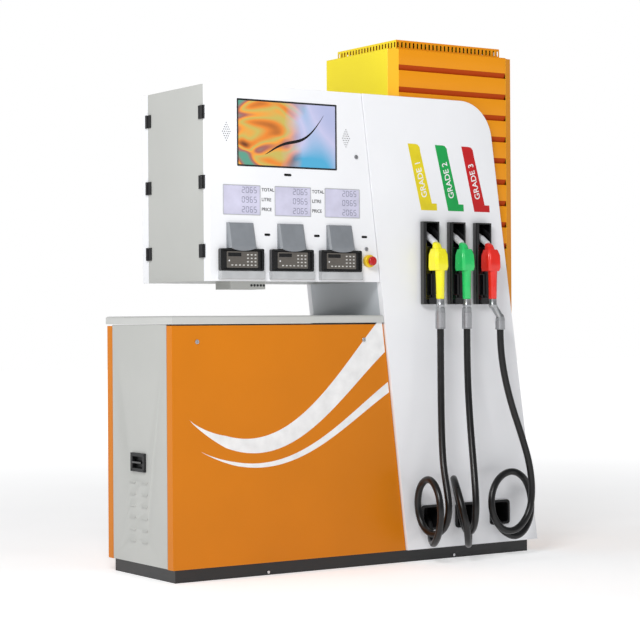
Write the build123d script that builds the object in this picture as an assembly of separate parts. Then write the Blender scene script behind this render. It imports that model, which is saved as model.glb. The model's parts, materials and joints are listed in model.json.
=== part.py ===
from build123d import *
import math
import os

# A three-product fuel dispenser. Millimetres, +Z up, +X towards the hose module, -Y is the customer side.
# The origin is the middle of the anchor-bolt rectangle, on the floor.

# ---- driving dimensions ----
SHEET = 2.0                      # folded steel sheet
RUNNING_GAP = 0.08               # radial clearance of a shaft in its bore
LOCK_BORE = 6.3                  # radius of a door's hole for a key cylinder
HALF_DEPTH = 275.0               # cabinet doors' outer faces
DOOR_FLANGE = 44.0               # depth of the doors' folded edges
SEAM = 2.0                       # gap between neighbouring casings
PLINTH_HALF_LENGTH = 908.0
PLINTH_HALF_DEPTH = 254.0
PLINTH_HEIGHT = 54.0
ANCHOR_X, ANCHOR_Y = 878.0, 150.0
ANCHOR_HOLE, ANCHOR_ACCESS = 9.0, 16.0
CABINET_LEFT = -929.0
CABINET_HEIGHT = 1032.0
COVER_TOP = 1064.0
TOWER_TOP = 2000.0               # head and sail panels end here
SAIL_FACE = 287.0                # distance of a sail panel's face from the middle plane
SAIL_DEPTH = 32.0
SAIL_CORNER = 175.0
SAIL_FOOT_LEFT, SAIL_FOOT_RIGHT = 217.0, 942.0
SAIL_TOP_LEFT, SAIL_TOP_RIGHT = -8.0, 668.0
HEAD_LEFT = -754.0
HEAD_BOTTOM = 1204.0
HEAD_FACE = 281.0
HEAD_DOOR_DEPTH = 50.0
MAST_LEFT, MAST_RIGHT = 163.0, 843.0
MAST_HALF_DEPTH = 255.0
MAST_TOP = 2209.0
CORNER_RUN, CORNER_DEPTH = 44.0, 21.0
RIB_PITCH = 95.0
RIB_SLOPE = 24.0
RIB_DEPTH = 12.0
RIB_TOP, RIB_COUNT = 2142.0, 16
RIB_START = 600.0
CAP_TOP = 2253.0
CAP_INSET_X, CAP_INSET_Y = 54.0, 32.0

BOOT_X = [332.0, 476.0, 620.0]   # the three nozzle boots
BOOT_FACE = -322.0
BOOT_BOTTOM, BOOT_TOP = 1109.0, 1466.0
SOCKET_BOTTOM = 1352.0
OUTLET_X = [343.0, 528.0, 721.0]  # the three hose outlets
OUTLET_Z, OUTLET_BACK = 188.0, -195.0
KEYPAD_X = [-614.0, -371.0, -128.0]
DISPLAY_X = [-604.0, -357.0, -110.0]
DISPLAY_Z = 1533.0
DISPLAY_HALF_WIDTH, DISPLAY_HALF_HEIGHT = 87.0, 59.0
KEYPAD_Z = 1290.0
SPEAKER_X = [-675.0, -89.0]
SCREEN_X, SCREEN_Z = -381.0, 1807.0
SCREEN_WIDTH, SCREEN_HEIGHT = 486.0, 272.0
STOP_X, STOP_Z = 21.0, 1292.0
GRIP_Y = -375.0                  # the nozzles' grips hang on this plane
GRIP_BOTTOM, GRIP_TOP = 1131.0, 1250.0
SPOUT_TILT = math.radians(32)
SPOUT_BASE_Y, SPOUT_BASE_Z = -355.0, 1364.0
SPOUT_START, SPOUT_END = 14.0, 150.0
HOSE_RADIUS = 15.0
LEVER_Y, LEVER_Z = -335.0, 1240.0   # the levers' pins
LEVER_PIN = 2.0
ISOLATOR_Y, ISOLATOR_Z = 2.0, 468.5
LOCK_REACH = 14.0
HEAD_LOCKS = [(-39.0, 1730.0), (11.0, 1343.0)]
REAR_HEAD_LOCK = (-39.0, 1600.0)
CABINET_LOCKS = [(-815.0, 960.0), (-1.0, 960.0)]
REAR_CABINET_LOCK = (-400.0, 960.0)
SENSOR_WINDOWS = [(-382, 1642, 36), (-483, 1394, 28), (-239.5, 1394, 28), (2, 1394, 28)]
HINGE_X, HINGE_Y = HEAD_LEFT - 7, HEAD_FACE - HEAD_DOOR_DEPTH - 1
HINGE_HEIGHTS = [1326.0, 1604.0, 1886.0]
HINGE_HALF, KNUCKLE_RADIUS, HINGE_PIN = 27.0, 5.0, 2.0
STOP_STEM = 8.0                  # radius of the emergency stop's stem
PUMP_X, PUMP_Z, PUMP_PULLEY_RADIUS = -560.0, 300.0, 90.0
SUCTION_RADIUS, SUCTION_BORE, SUCTION_BOTTOM = 24.0, 19.0, 8.0
MOTOR_X, MOTOR_Z, MOTOR_PULLEY_RADIUS = -300.0, 230.0, 45.0
SHAFT_RADIUS, SHAFT_FRONT, SHAFT_BACK = 12.0, -175.0, -100.0
METER_X, METER_TOP = [-170.0, -80.0, 10.0], 280.0
SHELF_TOP = 106.0

# Each route runs from the nozzle's coupling to the outlet; the middle points are the slack loop.
HOSE_ROUTES = [
    [(332, -375, 1002.5), (332, -375, 810), (321, -391, 600), (302, -425, 430), (284, -476, 325),
     (273, -507, 240), (268, -484, 160), (262, -407, 122), (257, -335, 158), (253, -305, 245),
     (249, -330, 335), (242, -405, 374), (232, -478, 332), (226, -511, 242), (233, -490, 150),
     (257, -418, 84), (292, -352, 100), (320, -308, 146), (340, -265, 180), (343, -215, 188)],
    [(476, -375, 1002.5), (476, -375, 810), (468, -402, 600), (449, -448, 425), (428, -488, 310),
     (420, -502, 220), (434, -466, 146), (461, -388, 118), (480, -328, 168), (478, -308, 255),
     (446, -320, 335), (398, -372, 366), (366, -438, 324), (355, -488, 245), (370, -502, 155),
     (408, -462, 84), (462, -395, 72), (502, -348, 108), (522, -312, 148), (528, -265, 180),
     (528, -215, 188)],
    [(661, -375, 997.5), (661, -375, 920), (680, -379, 790), (716, -385, 660), (762, -393, 535),
     (801, -401, 410), (813, -407, 290), (793, -409, 190), (726, -409, 118), (643, -407, 118),
     (591, -401, 185), (589, -391, 275), (639, -379, 350), (726, -367, 380), (809, -355, 345),
     (856, -345, 265), (850, -352, 172), (800, -366, 104), (738, -372, 82), (692, -350, 108),
     (688, -310, 148), (704, -262, 180), (716, -215, 188)],
]


# ---- shared helpers ----
def block(x0, x1, y0, y1, z0, z1):
    """A box between two corners."""
    box = Box(x1 - x0, y1 - y0, z1 - z0)
    return Pos((x0 + x1) / 2, (y0 + y1) / 2, (z0 + z1) / 2) * box


def cylinder_y(x, z, radius, y0, y1):
    """A cylinder along Y."""
    return Pos(x, (y0 + y1) / 2, z) * Rot(90, 0, 0) * Cylinder(radius, y1 - y0)


def cylinder_x(y, z, radius, x0, x1):
    """A cylinder along X."""
    return Pos((x0 + x1) / 2, y, z) * Rot(0, 90, 0) * Cylinder(radius, x1 - x0)


def cylinder_z(x, y, radius, z0, z1):
    """A cylinder along Z."""
    return Pos(x, y, (z0 + z1) / 2) * Cylinder(radius, z1 - z0)


def slab_y(face, y0, y1):
    """An X-Z face given depth from y0 to y1."""
    return extrude(Plane.XZ.offset(-y1) * face, amount=y1 - y0, dir=(0, -1, 0))


def slab_x(face, x0, x1):
    """A Y-Z face given width from x0 to x1."""
    return extrude(Plane.YZ.offset(x0) * face, amount=x1 - x0, dir=(1, 0, 0))


def slab_z(face, z0, z1):
    """An X-Y face given height from z0 to z1."""
    return extrude(Plane.XY.offset(z0) * face, amount=z1 - z0, dir=(0, 0, 1))


def outline(*points):
    """A flat closed outline through its points."""
    return Polygon(*points, align=None)


def mirrored(shape):
    """The same piece on the rear side."""
    return mirror(shape, about=Plane.XZ)


def sail_left(z):
    """The hose module's slanted left edge at height z."""
    share = (z - PLINTH_HEIGHT) / (TOWER_TOP - PLINTH_HEIGHT)
    return SAIL_FOOT_LEFT + share * (SAIL_TOP_LEFT - SAIL_FOOT_LEFT)


def sail_right(z):
    """The sail panel's slanted right edge at height z."""
    share = (z - PLINTH_HEIGHT) / (TOWER_TOP - PLINTH_HEIGHT)
    return SAIL_FOOT_RIGHT + share * (SAIL_TOP_RIGHT - SAIL_FOOT_RIGHT)


def slanted_outline(left, bottom, top, gap=3.0):
    """A casing outline whose right edge follows the module's slanted left edge."""
    right_bottom, right_top = sail_left(bottom) - gap, sail_left(top) - gap
    return outline((left, bottom), (right_bottom, bottom), (right_top, top), (left, top))


def export(name, *pieces):
    """Write one node; several pieces stay separate solids."""
    solids = [solid for piece in pieces for solid in piece.solids()]
    shape = solids[0] if len(solids) == 1 else Compound(children=solids)
    export_step(shape, f"parts/{name}.step")


# ---- base and lower cabinet ----
def plinth_frame():
    """Welded channel ring with one cross channel and four anchor holes."""
    rail, wall = 60.0, 4.0
    x, y, top = PLINTH_HALF_LENGTH, PLINTH_HALF_DEPTH, PLINTH_HEIGHT
    ring = block(-x, x, -y, y, 0, top)
    ring -= block(-x + rail, x - rail, -y + rail, y - rail, -1, top + 1)
    ring -= block(-x + wall, x - wall, -y + wall, y - wall, wall, top - wall)
    cross_left, cross_right = 150.0, 150.0 + rail
    cross = block(cross_left, cross_right, -y + wall, y - wall, 0, top)
    cross -= block(cross_left + wall, cross_right - wall, -y, y, wall, top - wall)
    ring += cross
    for side_x in (-1, 1):
        for side_y in (-1, 1):
            ring -= cylinder_z(side_x * ANCHOR_X, side_y * ANCHOR_Y, ANCHOR_HOLE, -1, wall + 1)
            ring -= cylinder_z(side_x * ANCHOR_X, side_y * ANCHOR_Y, ANCHOR_ACCESS, top - wall - 1, top + 1)
    stud_radius, stud_reach, stud_z = 6.0, 5.0, 12.0
    for stud_x in (-472, 489):
        ring += cylinder_y(stud_x, stud_z, stud_radius, -y - stud_reach, -y + 1)
    return ring


def cabinet_frame():
    """Posts, rails and the shelf that carries the pump."""
    tube, inner = 25.0, 203.0
    left, right, top = -905.0, 70.0, CABINET_HEIGHT - SHEET
    shelf_y, shelf_thickness, riser_hole = 180.0, 6.0, 30.0
    frame = block(left, right + tube, -shelf_y, shelf_y, SHELF_TOP - shelf_thickness, SHELF_TOP)
    for side in (-1, 1):
        y0, y1 = sorted((side * inner, side * (inner + tube)))
        for x in (left, right):
            frame += block(x, x + tube, y0, y1, PLINTH_HEIGHT, top)
        frame += block(left, right + tube, y0, y1, top - tube, top)
        frame += block(left, right + tube, y0, y1, SHELF_TOP - tube, SHELF_TOP)
    for x in (left, right):
        frame += block(x, x + tube, -inner, inner, top - tube, top)
        frame += block(x, x + tube, -inner, inner, SHELF_TOP - tube, SHELF_TOP)
    return frame - cylinder_z(PUMP_X, 0, riser_hole, 0, SHELF_TOP + 1)


def cabinet_side_panel():
    """Left side panel with two columns of pressed louvres and the isolator's cut-out."""
    edge, fold = HALF_DEPTH - DOOR_FLANGE - SEAM, 20.0
    x, bottom, top = CABINET_LEFT, PLINTH_HEIGHT + SHEET, CABINET_HEIGHT - SHEET
    panel = block(x, x + fold, -edge, edge, bottom, top)
    panel -= block(x + SHEET, x + fold + 1, -edge + SHEET, edge - SHEET, bottom + SHEET, top - SHEET)
    lowest, pitch, rows, half_width = 147.0, 48.0, 6, 22.0
    for y in (-46, 55):
        for row in range(rows):
            z = lowest + row * pitch
            louvre = outline((x, z - 6), (x - 5, z - 5), (x, z + 6))
            panel += slab_y(louvre, y - half_width, y + half_width)
            panel -= block(x - 4, x + 3, y - half_width + SHEET, y + half_width - SHEET, z - 5.5, z - 4.5)
    cut_width, cut_height = 50.0, 29.0
    return panel - block(x - 1, x + 3, ISOLATOR_Y - cut_width, ISOLATOR_Y + cut_width,
                         ISOLATOR_Z - cut_height, ISOLATOR_Z + cut_height)


def cabinet_top_cover():
    """Folded cover that overhangs the cabinet doors a little."""
    side = HALF_DEPTH + 6
    left = CABINET_LEFT - 4
    cover = slab_y(slanted_outline(left, CABINET_HEIGHT, COVER_TOP), -side, side)
    front_and_back = cover.edges().filter_by(Axis.X).group_by(Axis.Z)[-1]
    left_edge = cover.edges().filter_by(Axis.Y).group_by(Axis.Z)[-1].sort_by(Axis.X)[0]
    cover = fillet(front_and_back + [left_edge], 9)
    hollow = slanted_outline(left + SHEET, CABINET_HEIGHT - 1, COVER_TOP - 3, gap=5.0)
    return cover - slab_y(hollow, -side + SHEET, side - SHEET)


def cabinet_door(lock_holes):
    """Orange door tray; its right edge follows the sail."""
    bottom, top = PLINTH_HEIGHT, CABINET_HEIGHT - 7
    face, back = -HALF_DEPTH, -HALF_DEPTH + DOOR_FLANGE
    door = slab_y(slanted_outline(CABINET_LEFT, bottom, top), face, back)
    hollow = slanted_outline(CABINET_LEFT + SHEET, bottom + SHEET, top - SHEET, gap=3 + SHEET)
    door -= slab_y(hollow, face + SHEET, back + 1)
    for x, z in lock_holes:
        door -= cylinder_y(x, z, LOCK_BORE, face - 1, face + 5)
    return door


def isolator_housing():
    """Mains isolator: front plate, deep body and a recess for the handle."""
    x, y, z = CABINET_LEFT, ISOLATOR_Y, ISOLATOR_Z
    housing = block(x - 9, x, y - 59, y + 59, z - 38, z + 38)
    housing += block(x, x + 60, y - 47, y + 47, z - 28, z + 28)
    housing -= block(x - 10, x + 8, y - 42, y + 42, z - 24, z + 24)
    housing -= cylinder_y(x + 1, z, 3.2, y - 46, y + 46)
    for dy in (-53, 53):
        for dz in (-32, 32):
            housing += cylinder_x(y + dy, z + dz, 3, x - 10.5, x - 8)
    return housing


def isolator_handle():
    """Rocker bar on two trunnions."""
    x, y, z = CABINET_LEFT + 1, ISOLATOR_Y, ISOLATOR_Z
    handle = cylinder_y(x, z, 6, y - 41, y + 41)
    handle += cylinder_y(x, z, 3, y - 45.5, y + 45.5)
    return handle + block(x - 15, x, y - 38, y + 38, z - 3.5, z + 3.5)


# ---- hose module and mast ----
def mast_frame():
    """Four uprights with cross members, and tabs that carry the sail panels."""
    tube, inner, outer = 40.0, 190.0, 230.0
    uprights, top = (245.0, 780.0), MAST_TOP - 9
    tab_width, tab_bottom, tab_top = 14.0, 300.0, 340.0
    frame = None
    for x in uprights:
        for side in (-1, 1):
            y0, y1 = sorted((side * inner, side * outer))
            post = block(x, x + tube, y0, y1, PLINTH_HEIGHT, top)
            frame = post if frame is None else frame + post
            tab_y0, tab_y1 = sorted((side * outer, side * (SAIL_FACE - SHEET)))
            frame += block(x, x + tab_width, tab_y0, tab_y1, tab_bottom, tab_top)
    for z in (PLINTH_HEIGHT, 1040.0, top - tube):
        for side in (-1, 1):
            y0, y1 = sorted((side * inner, side * outer))
            frame += block(uprights[0], uprights[1], y0, y1, z, z + tube)
        for x in uprights:
            frame += block(x, x + tube, -inner, inner, z, z + tube)
    return frame


def module_side_wall():
    """Slanted inner wall of the module, folded over at the top to meet the mast."""
    edge = MAST_HALF_DEPTH - 1
    foot, top = PLINTH_HEIGHT + SHEET, TOWER_TOP
    profile = outline(
        (sail_left(foot), foot), (sail_left(foot) + SHEET, foot),
        (sail_left(top - SHEET) + SHEET, top - SHEET), (MAST_LEFT + CORNER_RUN - 3, top - SHEET),
        (MAST_LEFT + CORNER_RUN - 3, top), (sail_left(top), top))
    pipe_slot = block(140, 230, -20, 20, 290, 410)
    return slab_y(profile, -edge, edge) - pipe_slot


def sail_outline(inset):
    """The sail's outline, with one big rounded corner at the top right."""
    bottom, top = PLINTH_HEIGHT + inset, TOWER_TOP - inset
    sail = outline(
        (sail_left(bottom) + inset, bottom), (sail_right(bottom) - inset, bottom),
        (sail_right(top) - inset, top), (sail_left(top) + inset, top))
    corner = sail.vertices().sort_by(lambda vertex: vertex.X + vertex.Y)[-1]
    return fillet(corner, SAIL_CORNER - inset)


def sail_panel():
    """Shallow tray: a face with edges folded back to the mast."""
    sail = slab_y(sail_outline(0), -SAIL_FACE, -SAIL_FACE + SAIL_DEPTH)
    return sail - slab_y(sail_outline(SHEET), -SAIL_FACE + SHEET, -SAIL_FACE + SAIL_DEPTH + 1)


def front_sail_panel():
    """The customer-side sail, with openings behind the boots and for the hose outlets."""
    sail = sail_panel()
    y0, y1 = -SAIL_FACE - 1, -SAIL_FACE + 5
    for x in BOOT_X:
        sail -= block(x - 36, x + 36, y0, y1, SOCKET_BOTTOM - 2, BOOT_TOP - 1)
    for x in OUTLET_X:
        sail -= block(x - 50, x + 50, y0, y1, OUTLET_Z - 50, OUTLET_Z + 50)
    return sail


def mast_corner_profile(side):
    """X-Y section of a side cladding: a flat side, two sloped corners and returned edges."""
    wall = MAST_RIGHT if side > 0 else MAST_LEFT
    depth, shoulder = MAST_HALF_DEPTH, MAST_HALF_DEPTH - CORNER_DEPTH
    rib = wall - side * CORNER_RUN
    skin, lip = side * SHEET, 20.0
    outer = [(rib, -depth), (wall, -shoulder), (wall, shoulder), (rib, depth)]
    inner = [(rib, depth - lip), (rib + skin, depth - lip), (rib + skin, depth - SHEET - 1),
             (wall - skin, shoulder - 1), (wall - skin, -shoulder + 1), (rib + skin, -depth + SHEET + 1),
             (rib + skin, -depth + lip), (rib, -depth + lip)]
    return outline(*outer, *inner)


def mast_side_claddings():
    """Left cladding above the module, and the full-height right cladding."""
    left = slab_z(mast_corner_profile(-1), TOWER_TOP + SHEET, MAST_TOP)
    right = slab_z(mast_corner_profile(1), PLINTH_HEIGHT, MAST_TOP)
    return left, right


def mast_rib_panel():
    """Clapboard sheet: each course slopes in at its foot, then steps out again."""
    face = -MAST_HALF_DEPTH
    grooves = [RIB_TOP - i * RIB_PITCH for i in range(RIB_COUNT)]
    outer, inner = [(face, MAST_TOP)], [(face + SHEET, MAST_TOP)]
    for z in grooves:
        foot = z - RIB_SLOPE
        outer += [(face, z), (face + RIB_DEPTH, foot), (face, foot)]
        inner += [(face + SHEET, z), (face + RIB_DEPTH + SHEET, foot),
                  (face + RIB_DEPTH + SHEET, foot - SHEET), (face + SHEET, foot - SHEET)]
    outer.append((face, RIB_START))
    inner.append((face + SHEET, RIB_START))
    profile = outline(*outer, *reversed(inner))
    return slab_x(profile, MAST_LEFT + CORNER_RUN + 0.2, MAST_RIGHT - CORNER_RUN - 0.2)


def front_rib_panel():
    """The customer-side rib panel, open where the nozzle boots reach back."""
    panel = mast_rib_panel()
    y0, y1 = -MAST_HALF_DEPTH - 1, -MAST_HALF_DEPTH + 20
    for x in BOOT_X:
        panel -= block(x - 37, x + 37, y0, y1, SOCKET_BOTTOM - 4, BOOT_TOP + 2)
    return panel


def mast_vent_cap():
    """Slotted cap on the mast's top plate."""
    x0, x1 = MAST_LEFT + CAP_INSET_X, MAST_RIGHT - CAP_INSET_X
    y1 = MAST_HALF_DEPTH - CAP_INSET_Y
    z0, z1 = MAST_TOP, MAST_TOP + SHEET
    face_y, side_y = MAST_HALF_DEPTH, MAST_HALF_DEPTH - CORNER_DEPTH
    cap = block(x0, x1, -y1, y1, z0, CAP_TOP)
    cap += block(MAST_LEFT + CORNER_RUN, MAST_RIGHT - CORNER_RUN, -face_y, face_y, z0, z1)
    cap += block(MAST_LEFT, MAST_RIGHT, -side_y, side_y, z0, z1)
    cap -= block(x0 + SHEET, x1 - SHEET, -y1 + SHEET, y1 - SHEET, MAST_TOP - 1, CAP_TOP - SHEET)
    slot_bottom, slot_top, half_slot = MAST_TOP + 12, CAP_TOP - 9, 4.5
    front_count, side_count = 27, 20
    for i in range(front_count):
        x = x0 + (i + 0.5) * (x1 - x0) / front_count
        cap -= block(x - half_slot, x + half_slot, -y1 - 1, y1 + 1, slot_bottom, slot_top)
    for i in range(side_count):
        y = -y1 + (i + 0.5) * 2 * y1 / side_count
        cap -= block(x0 - 1, x1 + 1, y - half_slot, y + half_slot, slot_bottom, slot_top)
    return cap


# ---- head ----
def head_casing():
    """Open-fronted and open-backed sheet casing with a slanted right side."""
    y = HEAD_FACE - HEAD_DOOR_DEPTH - SEAM
    casing = slab_y(slanted_outline(HEAD_LEFT, HEAD_BOTTOM, TOWER_TOP), -y, y)
    hollow = slanted_outline(HEAD_LEFT + SHEET, HEAD_BOTTOM + SHEET, TOWER_TOP - SHEET, gap=3 + SHEET)
    return casing - slab_y(hollow, -y - 1, y + 1)


def head_junction_box():
    """Cable box under the head, with five gland holes."""
    x0, x1, y0, y1, height, wall = -625.0, -459.0, -225.0, -105.0, 32.0, 3.0
    bottom = HEAD_BOTTOM - height
    box = block(x0, x1, y0, y1, bottom, HEAD_BOTTOM)
    box -= block(x0 + wall, x1 - wall, y0 + wall, y1 - wall, bottom + wall, HEAD_BOTTOM + 1)
    gland_x, gland_z, pitch, gland_radius = -526.0, HEAD_BOTTOM - height / 2, 15.0, 4.0
    for i in range(5):
        box -= cylinder_y(gland_x + i * pitch, gland_z, gland_radius, y0 - 1, y0 + wall + 1)
    return box


def head_door_tray():
    """Plain door tray of the head."""
    back = -HEAD_FACE + HEAD_DOOR_DEPTH
    door = slab_y(slanted_outline(HEAD_LEFT, HEAD_BOTTOM, TOWER_TOP), -HEAD_FACE, back)
    hollow = slanted_outline(HEAD_LEFT + SHEET, HEAD_BOTTOM + SHEET, TOWER_TOP - SHEET, gap=3 + SHEET)
    return door - slab_y(hollow, -HEAD_FACE + SHEET, back + 1)


def head_front_door():
    """Front door with windows, keypad openings, speaker holes and bores for locks and stop button."""
    door = head_door_tray()
    y0, y1 = -HEAD_FACE - 1, -HEAD_FACE + 5
    half_w, half_h = SCREEN_WIDTH / 2, SCREEN_HEIGHT / 2
    door -= block(SCREEN_X - half_w, SCREEN_X + half_w, y0, y1, SCREEN_Z - half_h, SCREEN_Z + half_h)
    for x in DISPLAY_X:
        door -= block(x - DISPLAY_HALF_WIDTH, x + DISPLAY_HALF_WIDTH, y0, y1,
                      DISPLAY_Z - DISPLAY_HALF_HEIGHT, DISPLAY_Z + DISPLAY_HALF_HEIGHT)
    for x in KEYPAD_X:
        door -= block(x - 85, x + 85, y0, y1, KEYPAD_Z - 35, KEYPAD_Z + 35)
    hole_pitch, hole_radius, middle_count = 9.0, 2.5, 5
    for speaker_x in SPEAKER_X:
        for row in range(1 - middle_count, middle_count):
            count = middle_count - abs(row)
            for i in range(count):
                x = speaker_x + (i - (count - 1) / 2) * hole_pitch
                door -= cylinder_y(x, SCREEN_Z + row * hole_pitch, hole_radius, y0, y1)
    for x, z in HEAD_LOCKS:
        door -= cylinder_y(x, z, LOCK_BORE, y0, y1)
    return door - cylinder_y(STOP_X, STOP_Z, 11, y0, y1)


def rear_head_door():
    """Rear head door with a single lock."""
    x, z = REAR_HEAD_LOCK
    return mirrored(head_door_tray()) - cylinder_y(x, z, LOCK_BORE, HEAD_FACE - 5, HEAD_FACE + 1)


def advert_screen():
    """Flat display module; its glass fills the door's window."""
    half_w, half_h = SCREEN_WIDTH / 2, SCREEN_HEIGHT / 2
    inner = -HEAD_FACE + SHEET
    body = block(SCREEN_X - half_w - 16, SCREEN_X + half_w + 16, inner, inner + 34,
                 SCREEN_Z - half_h - 14, SCREEN_Z + half_h + 14)
    glass = block(SCREEN_X - half_w + 0.5, SCREEN_X + half_w - 0.5, inner - 1.5, inner,
                  SCREEN_Z - half_h + 0.5, SCREEN_Z + half_h - 0.5)
    return body + glass


def sales_display(x):
    """Three-line display module behind its window."""
    inner, half_w, half_h = -HEAD_FACE + SHEET, DISPLAY_HALF_WIDTH, DISPLAY_HALF_HEIGHT
    flange, z = 8.0, DISPLAY_Z
    body = block(x - half_w - flange, x + half_w + flange, inner, inner + 18,
                 z - half_h - flange, z + half_h + flange)
    return body + block(x - half_w + 0.5, x + half_w - 0.5, inner - 1.5, inner,
                        z - half_h + 0.5, z + half_h - 0.5)


def keypad_housing(x):
    """Black bezel with a recess for the keypad plate."""
    face, z = -HEAD_FACE, KEYPAD_Z
    housing = block(x - 103, x + 103, face - 22, face, z - 45, z + 45)
    housing = fillet(housing.edges().filter_by(Axis.Y), 6)
    housing -= block(x - 90, x + 90, face - 23, face - 14, z - 37, z + 37)
    return housing - block(x - 80, x + 80, face - 23, face + 1, z - 28, z + 28)


def keypad_plate(x):
    """Metal keypad plate with its switch tray behind."""
    face, z = -HEAD_FACE, KEYPAD_Z
    plate = block(x - 89, x + 89, face - 18, face - 14, z - 36, z + 36)
    return plate + block(x - 78, x + 78, face - 14, face + 12, z - 26, z + 26)


def keypad_hood(x):
    """Wedge-shaped hood over each keypad, with chamfered flanks."""
    face, bottom, top = -HEAD_FACE, KEYPAD_Z + 46, KEYPAD_Z + 150
    half_width, reach, top_reach, lip = 64.0, 31.0, 10.0, 8.0
    profile = outline((face, bottom), (face, top), (face - top_reach, top),
                      (face - reach, bottom + lip), (face - reach, bottom))
    hood = slab_x(profile, x - half_width, x + half_width)
    flanks = hood.edges().filter_by(Plane.YZ).sort_by(Axis.Y)
    long_flanks = [edge for edge in flanks if edge.length > 90 and edge.center().Y < face - 5]
    return chamfer(long_flanks, 8)


def keypad_ledge(x):
    """Light ledge below each keypad."""
    face = -HEAD_FACE
    ledge = block(x - 104, x + 104, face - 28, face, KEYPAD_Z - 79, KEYPAD_Z - 45.3)
    return fillet(ledge.edges().filter_by(Axis.X).group_by(Axis.Y)[0], 5)


def sensor_window(x, z, width):
    """Pill-shaped infrared window stuck on the door."""
    pill = Plane.XZ.offset(HEAD_FACE) * Pos(x, z, 0) * SlotOverall(width, 10)
    return extrude(pill, amount=1.2)


def head_hinge_base(z):
    """Casing leaf with two knuckles and the pin."""
    x, y = HINGE_X, -HINGE_Y
    leaf = block(x + 1, HEAD_LEFT, y + 6, y + 29, z - HINGE_HALF, z + HINGE_HALF)
    for side in (-1, 1):
        z0, z1 = sorted((z + side * 10, z + side * HINGE_HALF))
        leaf += cylinder_z(x, y, KNUCKLE_RADIUS, z0, z1)
        leaf += block(x + 1, HEAD_LEFT, y, y + 6, z0, z1)
    return leaf + cylinder_z(x, y, HINGE_PIN, z - HINGE_HALF, z + HINGE_HALF)


def head_hinge_leaf(z):
    """Door leaf with the middle knuckle."""
    x, y = HINGE_X, -HINGE_Y
    leaf = block(x + 1, HEAD_LEFT, y - 14, y - 6, z - HINGE_HALF, z + HINGE_HALF)
    leaf += cylinder_z(x, y, KNUCKLE_RADIUS, z - 9.5, z + 9.5)
    leaf += block(x + 1, HEAD_LEFT, y - 7, y, z - 9.5, z + 9.5)
    return leaf - cylinder_z(x, y, HINGE_PIN + RUNNING_GAP, z - 10, z + 10)


def stop_button_collar():
    """Yellow collar around the emergency stop."""
    collar = cylinder_y(STOP_X, STOP_Z, 26.5, -HEAD_FACE - 20, -HEAD_FACE)
    collar = chamfer(collar.edges().filter_by(GeomType.CIRCLE).sort_by(Axis.Y)[0], 3)
    collar += cylinder_y(STOP_X, STOP_Z, 10.8, -HEAD_FACE, -HEAD_FACE + 24)
    return collar - cylinder_y(STOP_X, STOP_Z, STOP_STEM + RUNNING_GAP, -HEAD_FACE - 21, -HEAD_FACE + 18)


def stop_button():
    """Mushroom head on a stem that slides in the collar."""
    head = cylinder_y(STOP_X, STOP_Z, 19, -HEAD_FACE - 40, -HEAD_FACE - 28)
    head = fillet(head.edges().filter_by(GeomType.CIRCLE).sort_by(Axis.Y)[0], 5)
    return head + cylinder_y(STOP_X, STOP_Z, STOP_STEM, -HEAD_FACE - 28, -HEAD_FACE + 8)


def cam_lock(x, z, face, side):
    """Key cylinder with its rosette outside and its cam inside a door; side is -1 at the front."""
    lock = cylinder_y(x, z, 9, *sorted((face, face + side * 4)))
    lock += cylinder_y(x, z, 6, *sorted((face + side * 4, face - side * LOCK_REACH)))
    y0, y1 = sorted((face - side * (LOCK_REACH - 3), face - side * LOCK_REACH))
    lock += block(x - 7, x + 7, y0, y1, z - 7, z + 30)
    slot_y0, slot_y1 = sorted((face + side * 5, face + side * 1))
    return lock - block(x - 1, x + 1, slot_y0, slot_y1, z - 4, z + 4)


# ---- nozzles, boots and hoses ----
def nozzle_boot(x):
    """Boot: a thick front block, and a closed socket behind the sail for the spout."""
    back = -200.0
    boot = block(x - 43, x + 43, BOOT_FACE, -SAIL_FACE, BOOT_BOTTOM, BOOT_TOP)
    boot = fillet(boot.edges().filter_by(Axis.Z), 9)
    boot += block(x - 34, x + 34, -SAIL_FACE, back, SOCKET_BOTTOM, BOOT_TOP - 2)
    boot -= block(x - 30, x + 30, BOOT_FACE - 1, back - 4, SOCKET_BOTTOM + 6, BOOT_TOP - 6)
    return boot - block(x - 34, x + 34, BOOT_FACE - 1, BOOT_FACE + 8, 1150, 1240)


def spout_axis(x, distance):
    """Where the spout's axis is at a distance from its base, as a plane that faces along it."""
    step_y, step_z = math.cos(SPOUT_TILT), math.sin(SPOUT_TILT)
    origin = (x, SPOUT_BASE_Y + distance * step_y, SPOUT_BASE_Z + distance * step_z)
    return Plane(origin=origin, x_dir=(1, 0, 0), z_dir=(0, step_y, step_z))


def nozzle_body(x):
    """Grip, hand cover, nose, lever guard and two lever ears."""
    grip = cylinder_z(x, GRIP_Y, 20, GRIP_BOTTOM, GRIP_TOP + 20)
    grip = fillet(grip.edges().filter_by(GeomType.CIRCLE).sort_by(Axis.Z)[0], 4)
    cover_profile = outline((-328, 1250), (-328, 1318), (-341, 1350), (-366, 1364), (-387, 1350),
                            (-399, 1302), (-399, 1272), (-386, 1250))
    cover = slab_x(cover_profile, x - 35, x + 35)
    cover = chamfer(cover.faces().filter_by(Plane.YZ).edges(), 5)
    nose_length = SPOUT_START + 26
    nose = spout_axis(x, SPOUT_START - nose_length / 2) * Cone(21, 15.5, nose_length)
    guard = block(x - 7, x + 7, -329, -326, 1138, 1255)
    guard += block(x - 7, x + 7, GRIP_Y, -326, 1138, 1142)
    body = cover + grip + nose + guard
    for side in (-1, 1):
        ear_x0, ear_x1 = sorted((x + side * 7, x + side * 10))
        body += block(ear_x0, ear_x1, -340, -331, 1233, 1252)
    return body - cylinder_x(LEVER_Y, LEVER_Z, LEVER_PIN + RUNNING_GAP, x - 11, x + 11)


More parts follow.
